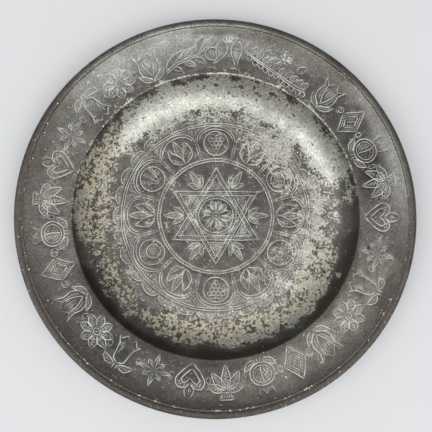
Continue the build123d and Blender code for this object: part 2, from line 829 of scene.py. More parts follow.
    def fish(self, middle: float, lean: float, place: Sheet) -> None:
        """A small fish with its head outwards.

        Args:
            middle: its place along the rim.
            lean: how far its tail swings aside.
            place: the sheet it is drawn on.
        """
        g = self.graver
        third = lean / 3
        left_side = [(-0.6, 25.0), (-3.6, 20.4), (-4.0, 15.0), (third - 1.8, 8.2), (lean - 0.8, 4.2)]
        right_side = [(0.6, 25.0), (3.4, 20.6), (3.6, 14.6), (third + 1.7, 8.8), (lean + 1.0, 4.6)]
        tail = [(lean - 0.8, 4.2), (lean - 4.4, 1.6), (lean - 0.4, 2.0), (lean + 3.2, 0.2), (lean + 1.0, 4.6)]
        gill = [(-3.2, 19.4), (0, 17.4), (3.1, 19.4)]
        belly = [(third + 1.4, 8.0), (third - 1.4, 8.0)]
        scales = [(-3.4, 17.0), (3.0, 17.0), (3.2, 13.0), *belly, (-3.6, 13.0)]

        def aside(points: Sequence[Point]) -> list[Point]:
            """The points at the fish's place along the rim."""
            return [(middle + x, y) for x, y in points]

        for side in (left_side, right_side):
            g.cut(aside(side), place)
        g.cut(aside(tail), place, curved=False)
        g.cut(aside(gill), place, g.fine_width)
        g.dots(aside([(-0.9, 21.8)]), place, 0.9)
        g.fill(aside(scales), place, Fill.CROSS, 25, 1.2)
        for sign, top in ((-1, 15.4), (1, 14.6)):
            fin = [(sign * 3.7, top), (sign * 5.8, top - 2.8), (sign * 2.8, top - 4.2)]
            g.cut(aside(fin), place, g.fine_width, curved=False)

    def fish_pair(self, place: Sheet) -> None:
        """Two fish side by side under a small plume of leaves.

        Args:
            place: the sheet they are drawn on.
        """
        self.fish(-5.6, -7.0, place)
        self.fish(5.2, 1.0, place)
        for lean in (-6.0, -2.4, 2.2, 6.2):
            self.sprig_leaf((0.0, 22.8), (lean, 29.4 - abs(lean) * 0.35), 2.4, place)

    def sprig_leaf(self, foot: Point, tip: Point, width: float, place: Sheet, hatched: bool = False) -> None:
        """One leaf of a sprig, with one edge broader cut than the other.

        Args:
            foot: where it grows.
            tip: its point.
            width: its greatest width.
            place: the sheet it is drawn on.
            hatched: whether it is filled.
        """
        way = Fill.HATCH if hatched else None
        widths = (self.graver.line_width, self.graver.fine_width)
        self.graver.leaf(foot, tip, width, place, 0.5, way, 20, widths=widths)

    def left_sprig(self, place: Sheet) -> None:
        """A leafy sprig that ends at the fish, with a round fruit at its end.

        Args:
            place: the sheet it is drawn on.
        """
        g = self.graver
        stem = [(-23.0, 4.5), (-13.0, 9.0), (-3.0, 11.6), (6.0, 14.0), (12.0, 20.5)]
        fruit = (15.6, 13.4)
        g.cut(stem, place)
        g.cut([(x + 0.4, y - 1.6) for x, y in stem[:4]], place)
        g.ring(fruit, 5.4, place)
        g.fill(disc(4.4, fruit), place, Fill.CROSS, 30, 1.6)
        leaves = (
            ((-22.0, 6.0), (-4.0, 19.4), 5.0),
            ((-9.0, 11.0), (5.0, 20.4), 5.6),
            ((4.0, 14.4), (11.0, 28.6), 5.2),
            ((10.0, 18.6), (19.0, 27.0), 5.4),
            ((-17.0, 5.6), (-8.6, 1.6), 3.6),
            ((-7.0, 9.0), (2.6, 3.4), 4.6),
            ((1.6, 10.8), (10.6, 5.0), 4.6),
        )
        for k, (foot, tip, width) in enumerate(leaves):
            self.sprig_leaf(foot, tip, width, place, hatched=k % 2 == 1)

    def right_sprig(self, place: Sheet) -> None:
        """A longer sprig that hangs away from the fish, set thickly with small leaves.

        Args:
            place: the sheet it is drawn on.
        """
        g = self.graver
        stem = [(-29.0, 19.0), (-17.0, 12.6), (-3.0, 8.6), (15.0, 4.6), (27.0, 6.4)]
        g.cut(stem, place)
        g.cut([(x + 1.0, y - 1.8) for x, y in stem], place)
        for k, (x, y) in enumerate(g.smooth(stem)[1:-1]):
            upward = k % 2 == 0
            length = g.draw.uniform(7.0, 10.5)
            lean = g.draw.uniform(2.5, 5.5)
            tip = (x + lean, y + length) if upward else (x + lean * 0.6, y - 2.0 - length * 0.5)
            self.sprig_leaf((x, y if upward else y - 1.8), tip, 4.2, place, hatched=upward)
            if k % 3 == 0:
                g.dots([(x - 1.0, y + 12.6), (x + 2.6, y + 15.4)], place)
        self.sprig_leaf((2.0, 19.0), (6.5, 26.6), 5.4, place)
        self.sprig_leaf((14.0, 15.0), (19.5, 23.0), 5.0, place)


@dataclass
class Medallion:
    """The engraving on the floor of the well, a star in a ring of arches over leaves and fruit.

    Args:
        graver: the hand that cuts it.
        flower_radius: reach of the petals in the middle.
        star_radius: reach of the star's points.
        band: distance between the two lines of the star's triangles.
        rope_radius: middle radius of the rope round the star.
        field_radius: middle radius of the ring of arches.
        capital_radius: where the arches spring from their columns.
        crown_radius: the line that the arches touch.
        arches: number of arches.
        column_edges: sides of a column, by their turn from the arch's middle in half arches.
        scallop_radius: foot of the half-rounds round the edge.
        scallops: number of half-rounds.
    """

    graver: Graver
    flower_radius: float = 14.0
    star_radius: float = 44.0
    band: float = 3.6
    rope_radius: float = 51.2
    field_radius: float = 66.5
    capital_radius: float = 70.0
    crown_radius: float = 83.2
    arches: int = 12
    column_edges: tuple[float, float] = (0.93, 1.07)
    scallop_radius: float = 85.6
    scallops: int = 30

    def sheet(self, angle: float, radius: float) -> Sheet:
        """A sheet on the floor.

        Args:
            angle: where its middle stands, in degrees.
            radius: its distance from the axis.

        Returns:
            The sheet, with y away from the plate's middle.
        """
        out = Vector(polar(math.radians(angle), 1.0))
        side = Vector((out.y, -out.x))

        def place(x: float, y: float) -> Point:
            """A place on the sheet in plan."""
            return tuple(out * (radius + y) + side * x)

        return place

    def engrave(self) -> None:
        """Cuts the whole medallion."""
        self.flower()
        self.star()
        for k in range(6):
            self.sprig_between_points(self.sheet(90 + 60 * k + 30, 0))
        for radius in (self.rope_radius - 1.2, self.rope_radius + 1.2):
            self.graver.ring((0, 0), radius, flat_place)
        self.rope(self.rope_radius)
        for k in range(self.arches):
            turn = 360 * k / self.arches
            self.arch_field(self.sheet(90 + turn, self.field_radius), k)
            self.arch(90 + turn)
        for radius in (self.crown_radius, self.crown_radius + 2.0):
            self.graver.ring((0, 0), radius, flat_place)
        self.scalloped_edge()

    def arch(self, angle: float) -> None:
        """One arch, with the column on its left and the hatched corners over it.

        Args:
            angle: where its middle stands, in degrees.
        """
        g = self.graver
        half = 180 / self.arches
        spring, crown = self.capital_radius, self.crown_radius
        rise = crown - 0.8 - spring

        def spot(turn: float, radius: float) -> Point:
            """A place by its turn from the arch's middle, in half arches, and its radius."""
            return polar(math.radians(angle + turn * half), radius)

        for share, lift in ((0.92, 1.0), (0.82, 0.8)):
            turns = [math.pi * k / 10 for k in range(11)]
            bow = [spot(share * math.cos(t), spring + lift * rise * math.sin(t)) for t in turns]
            g.cut(bow, flat_place)
        for side in (1, -1):
            turns = [math.pi / 2 * k / 5 for k in range(6)]
            bow = [spot(side * 0.95 * math.cos(t), spring + rise * math.sin(t)) for t in turns]
            corner = [spot(side * share, crown) for share in (0.0, 0.5, 1.0)]
            g.fill([*bow, *corner, spot(side, spring)], flat_place, Fill.HATCH, angle + side * 40, 1.25)
        for turn in self.column_edges:
            g.cut([spot(turn, 55.4), spot(turn, spring)], flat_place, curved=False)
        for radius, reach in ((54.2, 0.13), (55.6, 0.1), (spring, 0.12), (spring + 1.6, 0.15)):
            ends = [spot(1 - reach, radius), spot(1 + reach, radius)]
            g.cut(ends, flat_place, g.fine_width, curved=False)
        left, right = self.column_edges
        shaft = [spot(left, 56.0), spot(right, 56.0), spot(right, spring - 0.4), spot(left, spring - 0.4)]
        g.fill(shaft, flat_place, Fill.HATCH, angle + half + 50, 1.5)

    def rope(self, radius: float) -> None:
        """Short slanting lines between two rings.

        Args:
            radius: its middle radius.
        """
        count = round(FULL_TURN * radius / 2.6)
        for k in range(count):
            turn = FULL_TURN * k / count
            ends = [polar(turn, radius - 1.0), polar(turn + 1.2 / radius, radius + 1.0)]
            self.graver.cut(ends, flat_place, self.graver.fine_width, curved=False)

    def flower(self) -> None:
        """A flower of twelve petals, every second one hatched, in a ring of rope."""
        g = self.graver
        g.ring((0, 0), 3.4, flat_place)
        g.fill(disc(2.8), flat_place, Fill.CROSS, 10, 1.2)
        for k in range(12):
            way = Fill.HATCH if k % 2 else None
            g.leaf((0, 4.0), (0, self.flower_radius), 5.6, self.sheet(30 * k + 15, 0), way=way)
        for radius in (self.flower_radius + 1.6, self.flower_radius + 4.2):
            g.ring((0, 0), radius, flat_place)
        self.rope(self.flower_radius + 2.9)

    def star(self) -> None:
        """A six-pointed star of two woven triangles, drawn with double lines and hatched."""
        g = self.graver
        reach = self.star_radius
        for first in (90.0, 30.0):
            for size in (reach, reach - 2 * self.band):
                corners = [polar(math.radians(first + 120 * k), size) for k in range(3)]
                g.outline(corners, flat_place)
            self.woven_band(first)
        inner = reach / math.sqrt(3)
        for k in range(6):
            turns = [math.radians(60 * k + step) for step in (2, 30, 58)]
            bay = [polar(t, inner - 3.4) for t in turns] + [polar(t, 19.2) for t in reversed(turns)]
            g.fill(bay, flat_place, Fill.CROSS, 60 * k + 30, 1.3)
        for k in range(6):
            point = [(90, reach - 9.0), (120, inner + 1.0), (60, inner + 1.0)]
            shape = [Vector(polar(math.radians(turn + 60 * k), radius)) for turn, radius in point]
            centre = Vector((sum(p.x for p in shape) / 3, sum(p.y for p in shape) / 3))
            small = [tuple(centre + (p - centre) * 0.62) for p in shape]
            g.outline(small, flat_place, g.fine_width)
            g.fill(small, flat_place, Fill.CROSS, 30 + 60 * k, 1.4)

    def woven_band(self, first: float) -> None:
        """Hatches the three sides of one of the star's triangles between their two lines.

        Args:
            first: direction of its first point in degrees.
        """
        for k in range(3):
            turns = [math.radians(first + 120 * (k + step)) for step in (0, 1)]
            sizes = (self.star_radius - 0.8, self.star_radius - 2 * self.band + 0.8)
            outside, inside = ([Vector(polar(t, size)) for t in turns] for size in sizes)
            ends = [outside[0].lerp(outside[1], share) for share in (0.06, 0.94)]
            outline = [tuple(corner) for corner in (*ends, inside[1], inside[0])]
            self.graver.fill(outline, flat_place, Fill.HATCH, first + 120 * k + 95, 1.5)

    def sprig_between_points(self, place: Sheet) -> None:
        """Three leaves that fill the bay between two points of the star.

        Args:
            place: the sheet they are drawn on.
        """
        foot = Vector((0, 28.6))
        for lean, length, width in ((-38.0, 13.0, 4.4), (0.0, 19.0, 5.4), (38.0, 13.0, 4.4)):
            self.graver.leaf(tuple(foot), tuple(foot + leaning(lean) * length), width, place, angle=65)

    def arch_field(self, place: Sheet, index: int) -> None:
        """One of twelve fields: fruit or grain in a ring, and leaves, in turn.

        Args:
            place: the sheet it is drawn on.
            index: its place in the round.
        """
        g = self.graver
        if index % 2 == 0:
            g.ring((0, 0), 11.2, place)
            (self.grapes, self.ears, self.pomegranate)[index // 2 % 3](place)
            return
        for sign in (1, -1):
            tip, angle = (sign * 8.6, 7.0), 90 - sign * 38
            g.leaf((0, -11.6), tip, 8.4, place, -sign * 2.4, Fill.WRIGGLE, angle)
        g.leaf((0, -6.0), (0, 12.4), 6.0, place, angle=0, spacing=1.2)

    def grapes(self, place: Sheet) -> None:
        """A bunch of grapes on a short stalk with two leaves.

        Args:
            place: the sheet it is drawn on.
        """
        g = self.graver
        for row, count in enumerate((4, 3, 2, 1)):
            for k in range(count):
                g.ring(((k - (count - 1) / 2) * 3.9, 3.6 - row * 3.5), 1.75, place, g.fine_width)
        g.cut([(0, 5.4), (0.6, 9.2)], place, curved=False)
        for sign in (1, -1):
            g.leaf((0, 6.0), (sign * 7.0, 7.4), 3.6, place, way=None, widths=(g.fine_width, g.fine_width))

    def ears(self, place: Sheet) -> None:
        """Three ears of grain tied near the foot.

        Args:
            place: the sheet they are drawn on.
        """
        g = self.graver
        foot = Vector((0, -9.6))
        for lean in (-24.0, 0.0, 24.0):
            way = leaning(lean)
            side = Vector((way.y, -way.x))
            g.cut([tuple(foot), tuple(foot + way * 17.0)], place, g.fine_width, curved=False)
            for k in range(5):
                grain = foot + way * (8.0 + 2.2 * k)
                for sign in (1, -1):
                    tip = grain + way * 2.4 + side * (sign * 1.9)
                    g.cut([tuple(grain), tuple(tip)], place, curved=False)
        g.cut([(-2.4, -5.6), (2.4, -5.4)], place, curved=False)

    def pomegranate(self, place: Sheet) -> None:
        """A small crowned fruit, hatched both ways.

        Args:
            place: the sheet it is drawn on.
        """
        g = self.graver
        middle = (0, -1.6)
        g.ring(middle, 6.2, place)
        g.fill(disc(5.4, middle), place, Fill.CROSS, 55, 1.5)
        crown = [(-2.4, 4.2), (-3.4, 8.4), (-1.2, 6.4), (0, 8.8), (1.2, 6.4), (3.4, 8.4), (2.4, 4.2)]
        g.cut(crown, place, curved=False)

    def scalloped_edge(self) -> None:
        """A ring of hatched half-rounds at the medallion's edge."""
        half = FULL_TURN * self.scallop_radius / self.scallops / 2
        for k in range(self.scallops):
            place = self.sheet(360 * k / self.scallops, self.scallop_radius)
            turns = [math.pi * j / 6 for j in range(7)]
            bow = [(half * math.cos(t), 7.0 * math.sin(t)) for t in turns]
            self.graver.cut(bow, place)
            self.graver.fill(bow, place, Fill.HATCH, 90, 1.15)


def flat_place(x: float, y: float) -> Point:
    """The sheet of the whole floor, as it lies in plan."""
    return x, y


@dataclass(frozen=True)
class Flank:
    """One wall of a stretch of groove, in plan.

    Args:
        corners: its outline, counter-clockwise.
        start: bottom of the groove where the stretch begins.
        end: bottom of the groove where it ends.
        start_half: half the groove's width at the start.
        end_half: half its width at the end.
    """

    corners: tuple[Vector, ...]
    start: Vector
    end: Vector
    start_half: float
    end_half: float

    def covers(self, point: Vector) -> bool:
        """Whether a place in plan lies on this wall."""
        sides = zip(self.corners, (*self.corners[1:], self.corners[0]))
        return all((b.x - a.x) * (point.y - a.y) >= (b.y - a.y) * (point.x - a.x) for a, b in sides)

    def depth(self, point: Vector) -> float:
        """How far a place lies inwards of the groove's edge.

        Args:
            point: the place in plan.

        Returns:
            The distance, or 0 outside the groove.
        """
        along = self.end - self.start
        offset = point - self.start
        share = min(1.0, max(0.0, offset.dot(along) / along.length_squared))
        half = self.start_half + (self.end_half - self.start_half) * share
        return max(0.0, half - (offset - along * share).length)


@dataclass
class EngravedFace:
    """A level or conical face of the plate, triangulated round the grooves that are cut into it.

    Crossing grooves by the thousand are beyond the mesh operators, so the edges of all grooves go
    into one constrained triangulation, and each depth is read back from the groove it lies in.

    Args:
        height: gives the uncut face's height at a distance from the axis, in millimetres.
        slope: slope of a groove's walls, depth over half width.
        spacing: distance between the points of the plain metal.
        tip: length over which a cut comes to a point, in its own widths.
        cell: size of the squares that sort the grooves by place.
        clear: least distance from the middle of a groove to a rim.
        merge: points nearer to each other than this become one.
    """

    height: Callable[[float], float]
    slope: float = 0.28
    spacing: float = 4.0
    tip: float = 1.6
    cell: float = 1.6
    clear: float = 0.9
    merge: float = 1e-4

    def stations(self, cut: Cut) -> list[tuple[Vector, Vector, float]]:
        """The middle, the sideways direction and the half width at each point of a cut.

        Args:
            cut: the cut.

        Returns:
            One entry for each point, with a half width of 0 at both ends.
        """
        points = [Vector(p) for p in cut.line]
        if len(points) == 2:
            points.insert(1, (points[0] + points[1]) / 2)
        travel = [0.0]
        for start, end in zip(points, points[1:]):
            travel.append(travel[-1] + (end - start).length)
        found = []
        for k, middle in enumerate(points):
            before, after = points[max(k - 1, 0)], points[min(k + 1, len(points) - 1)]
            along = (after - before).normalized()
            to_end = min(travel[k], travel[-1] - travel[k])
            share = min(1.0, to_end / (self.tip * cut.width))
            found.append((middle, Vector((-along.y, along.x)), cut.width / 2 * math.sqrt(share)))
        return found

    def groove(
        self, cut: Cut, points: list[Vector], edges: list[tuple[int, int]], walls: list[Flank]
    ) -> None:
        """Lays the two walls of one groove out in plan.

        Args:
            cut: the cut.
            points: all points of the triangulation, which grows.
            edges: its edges, which grow.
            walls: the walls of all grooves, which grow.
        """
        places: list[tuple[int, int, int]] = []
        stations = self.stations(cut)
        for middle, side, half in stations:
            first = len(points)
            points += [middle + side * half, middle, middle - side * half] if half else [middle]
            places.append((first, first + 1, first + 2) if half else (first, first, first))
        for k in range(len(stations) - 1):
            start, end = places[k], places[k + 1]
            (middle, _, half), (next_middle, _, next_half) = stations[k : k + 2]
            edges += list(zip(start, end))
            for near, far in ((0, 1), (1, 2)):
                corners = dict.fromkeys((start[near], start[far], end[far], end[near]))
                outline = tuple(points[corner] for corner in corners)
                walls.append(Flank(outline, middle, next_middle, half, next_half))

    def sorted_by_cell(self, walls: Iterable[Flank]) -> dict[tuple[int, int], list[Flank]]:
        """Sorts walls by the squares of the plan that they reach into.

        Args:
            walls: the walls.

        Returns:
            The walls of each square, by its column and row.
        """
        found: dict[tuple[int, int], list[Flank]] = {}
        for wall in walls:
            lows = [math.floor(min(c[axis] for c in wall.corners) / self.cell) for axis in (0, 1)]
            highs = [math.floor(max(c[axis] for c in wall.corners) / self.cell) for axis in (0, 1)]
            for column in range(lows[0], highs[0] + 1):
                for row in range(lows[1], highs[1] + 1):
                    found.setdefault((column, row), []).append(wall)
        return found

    def add_to(self, mesh: Mesh, rims: Sequence[Sequence[Vertex]], cuts: Iterable[Cut]) -> None:
        """Adds the face inside its rims to a mesh, with its grooves.

        Args:
            mesh: the plate's mesh, in metres.
            rims: the outer ring of vertices that the face meets, and the inner one if it has a hole.
            cuts: the cuts that lie on it.
        """
        points: list[Vector] = []
        edges: list[tuple[int, int]] = []
        for rim in rims:
            first, count = len(points), len(rim)
            points += [(v.co / MM).to_2d() for v in rim]
            edges += [(first + k, first + (k + 1) % count) for k in range(count)]
        outer = points[0].length
        inner = points[len(rims[0])].length if len(rims) > 1 else 0.0
        points += self.plain_points(inner, outer)
        walls: list[Flank] = []
        for cut in cuts:
            self.groove(self.held_inside(cut, inner, outer), points, edges, walls)
        sorted_walls = self.sorted_by_cell(walls)
        corners, _, faces, origins, _, _ = delaunay_2d_cdt(points, edges, [], 0, self.merge, True)
        depths = [0.0] * len(corners)
        kept = []
        hole = inner * math.cos(math.pi / len(rims[-1]))
        for face in faces:
            middle = (corners[face[0]] + corners[face[1]] + corners[face[2]]) / 3
            if middle.length < hole:
                continue
            near = sorted_walls.get((math.floor(middle.x / self.cell), math.floor(middle.y / self.cell)), ())
            covering = [wall for wall in near if wall.covers(middle)]
            kept.append((face, bool(covering)))
            for wall in covering:
                for corner in face:
                    depths[corner] = max(depths[corner], self.slope * wall.depth(corners[corner]))
        rim_vertices = [vertex for rim in rims for vertex in rim]
        made = {c: rim_vertices[n] for c, ns in enumerate(origins) for n in ns if n < len(rim_vertices)}
        for face, is_cut in kept:
            for corner in face:
                if corner not in made:
                    place = corners[corner]
                    level = self.height(place.length) - depths[corner]
                    made[corner] = mesh.verts.new(Vector((place.x, place.y, level)) * MM)
            new = mesh.faces.new([made[corner] for corner in face])
            new.material_index = Slot.CUT.value if is_cut else Slot.UPPER.value
            new.smooth = not is_cut

    def held_inside(self, cut: Cut, inner: float, outer: float) -> Cut:
        """The cut, with what would run over a rim of the face led along it.

        Args:
            cut: the cut.
            inner: radius of the hole in the middle, or 0.
            outer: radius of the face.

        Returns:
            The cut as it is made.
        """
        low = inner + self.clear if inner else 0.0
        line = []
        for place in cut.line:
            reach = math.hypot(*place)
            share = min(max(reach, low), outer - self.clear) / max(reach, self.merge)
            line.append((place[0] * share, place[1] * share))
        return Cut(tuple(line), cut.width)

    def plain_points(self, inner: float, outer: float) -> list[Vector]:
        """Points in rings that keep the triangles of the plain metal even.

        Args:
            inner: radius of the hole in the middle, or 0.
            outer: radius of the face.

        Returns:
            The points in plan.
        """
        found = [] if inner else [Vector((0.0, 0.0))]
        rings = round((outer - inner) / self.spacing)
        for ring in range(1, rings):
            radius = inner + (outer - inner) * ring / rings
            count = max(6, round(FULL_TURN * radius / self.spacing))
            turns = [FULL_TURN * (k + ring % 2 / 2) / count for k in range(count)]
            found += [Vector((radius * math.cos(t), radius * math.sin(t))) for t in turns]
        return found


# Length of a patch that goes round the whole plate.
EVERYWHERE = math.inf
# A patch at least this wide strays from its true shape by the whole wobble, in millimetres.
STEADY_WIDTH = 9.0
# How sharply a patch ends, where 1 would be a bell curve.
PATCH_EDGE = 1.4


@dataclass(frozen=True)
class Patch:
    """A part of the upper face that age or use has changed, or where light or shade is painted, soft at its
    edge.

    Args:
        angle: direction of its middle in degrees, counter-clockwise from the right.
        radius: distance of its middle from the axis in millimetres.
        along: half its length round the plate in millimetres, or EVERYWHERE for the whole round.
        across: half its width towards the middle, in millimetres.
        strength: what it adds, in its middle, to the share of its kind of wear or painted light.
    """

    angle: float
    radius: float
    along: float
    across: float
    strength: float

    def share(self, place: Vector, wobble: Vector) -> float:
        """What the patch adds at a place.

        Args:
            place: the place in plan, in millimetres.
            wobble: how far a wide patch strays from its true shape there. A narrow one strays less.

        Returns:
            The added share.
        """
        found = place + wobble * min(1.0, (self.across / STEADY_WIDTH) ** 2)
        turn = math.degrees(math.atan2(found.y, found.x)) - self.angle
        turn = (turn + 180.0) % 360.0 - 180.0
        sideways = math.radians(turn) * self.radius / self.along
        outwards = (found.length - self.radius) / self.across
        return self.strength * math.exp(-((sideways**2 + outwards**2) ** PATCH_EDGE))


class WearAndLight(Enum):
    """What age and use have done to the metal, and painted light. Each is a vertex attribute of the plate.

    BARE is metal without its oxide and SCALE a beige crust on bare metal. The film is dark dirt and wax,
    and also painted shade where the well's side and the flange's margin turn from the lamps, at the
    bottom and left. The last kind is painted light: a painted sheen over the oxide, or painted shade that
    darkens it below 0.
    """

    BARE = "bare"
    SCALE = "scale"
    FILM = "film"
    PALE = "pale"


# What the photographed plate shows of each kind of wear, and of painted light and shade, as angle,
# radius, along, across, strength.
PATCHES: dict[WearAndLight, tuple[Patch, ...]] = {
    # Mostly the broad ring round the foot of the well's side, and the break and the bead all round.
    WearAndLight.BARE: (
        Patch(0, 0, EVERYWHERE, 100, 0.22),
        Patch(0, 104, EVERYWHERE, 18, 0.46),
        Patch(120, 109, 46, 14, 0.6),
        Patch(78, 108, 40, 14, 0.12),
        Patch(34, 107, 46, 13, 0.5),
        Patch(68, 116, 84, 9, 1.0),
        Patch(95, 119, 40, 6, 0.3),
        Patch(135, 121, 40, 6, 0.1),
        Patch(22, 119, 40, 6, 0.3),
        Patch(168, 113, 48, 13, 0.4),
        Patch(149, 96, 34, 12, -0.4),
        Patch(4, 103, 34, 7, -0.35),
        Patch(0, 91, 30, 6, 0.35),
        Patch(32, 94, 16, 12, -0.45),
        Patch(12, 117, 16, 7, -0.3),
        Patch(131, 100, 14, 4, -0.2),
        Patch(-155, 108, 50, 11, 0.12),
        Patch(-110, 108, 50, 10, 0.35),
        Patch(-65, 110, 60, 9, 0.5),
        Patch(-44, 115, 20, 5, 0.4),
        Patch(-20, 106, 50, 10, 0.15),
        Patch(-28, 98, 18, 9, 0.25),
        Patch(-8, 111, 12, 4, -0.3),
        Patch(4, 113, 20, 6, -0.12),
        Patch(166, 120, 32, 6, 0.55),
        Patch(36, 77, 44, 10, 0.12),
        Patch(170, 110, 12, 4, -0.25),
        Patch(-140, 92, 60, 14, -0.15),
        Patch(-130, 98, 14, 8, -0.3),
        Patch(-30, 78, 40, 18, 0.24),
        Patch(42, 72, 40, 13, 0.34),
        Patch(54, 83, 32, 9, 0.35),
        Patch(-176, 122, 22, 4, 0.5),
        Patch(9, 122, 14, 4, 0.4),
        Patch(88, 122, 14, 3, -0.4),
        Patch(165, 60, 40, 12, 0.1),
        Patch(-155, 124, 50, 8, -0.3),
        Patch(-90, 126, 100, 9, -0.75),
        Patch(-20, 125, 60, 9, -0.6),
        Patch(-27, 121, 5, 4, 1.1),
        Patch(67, 154, 16, 8, 0.5),
        Patch(108, 157, 22, 6, 0.2),
        # Bare along the break, laid only over the top where the rounded edge shows its highlight: partly a
        # painted highlight.
        Patch(66, 126.0, 165, 0.9, 0.44),
        Patch(0, 168.0, EVERYWHERE, 0.8, 0.2),
    ),
    # Mostly the left and the bottom of that ring.
    WearAndLight.SCALE: (
        Patch(0, 60, EVERYWHERE, 60, 0.42),
        Patch(166, 113, 44, 15, 0.62),
        Patch(-162, 106, 44, 16, 0.5),
        Patch(-127, 104, 46, 16, 0.45),
        Patch(-80, 104, 56, 14, 0.4),
        Patch(-30, 106, 50, 12, 0.35),
        Patch(12, 83, 10, 8, 0.4),
        Patch(145, 119, 30, 7, 0.35),
        Patch(80, 121, 100, 6, 0.4),
        Patch(110, 108, 60, 9, -0.3),
        Patch(50, 104, 60, 9, -0.2),
    ),
    # Dark film under the break at the bottom and on the flange's margin at the bottom and left, partly
    # painted shade where these faces turn from the lamps; and along the bead and the reed.
    WearAndLight.FILM: (
        Patch(133, 120, 30, 5, 0.2),
        Patch(-149, 125, 34, 8, 0.8),
        Patch(-90, 127, 100, 9, 0.95),
        Patch(-24, 124, 50, 8, 0.9),
        Patch(150, 96, 16, 8, 0.3),
        Patch(0, 172, EVERYWHERE, 4.4, 0.45),
        Patch(-100, 172, 230, 4.4, 0.35),
        Patch(-120, 165, 250, 12, 0.62),
        Patch(158, 164, 46, 9, 0.5),
        Patch(-20, 163, 56, 8, 0.45),
        Patch(49, 167, 16, 6, 0.6),
    ),
    # A painted sheen where the flange's upturned margin and the reed reflect the lamps at the top and
    # right. Below 0, painted shade on the flange towards its inner edge and at the bottom, on a strip of
    # its margin at the top, on the reed at the bottom and on parts of the well's side; darker on the floor.
    WearAndLight.PALE: (
        Patch(112, 153, 84, 13, 0.85),
        Patch(66, 151, 40, 8, 0.3),
        Patch(92, 169, 50, 2.5, 0.35),
        Patch(112, 171, 90, 3, 0.25),
        Patch(158, 171.5, 50, 3, 0.25),
        Patch(18, 160, 56, 8, 0.5),
        Patch(-128, 141, 110, 20, -0.55),
        Patch(-88, 140, 34, 12, -0.25),
        Patch(26, 140, 84, 16, -0.5),
        Patch(66, 117, 90, 8, -0.34),
        Patch(-150, 103, 60, 12, -0.15),
        Patch(72, 108, 56, 8, -0.2),
        Patch(12, 145, 14, 9, -0.25),
        Patch(-130, 147, 20, 12, -0.2),
        Patch(-15, 24, 40, 26, -0.25),
        Patch(0, 22, EVERYWHERE, 42, -0.16),
        Patch(-160, 76, 120, 26, -0.16),
        Patch(-60, 58, 60, 14, -0.12),
        Patch(-100, 172, 220, 3.4, -0.42),
        Patch(80, 165, 74, 3.6, -0.4),
    ),
}


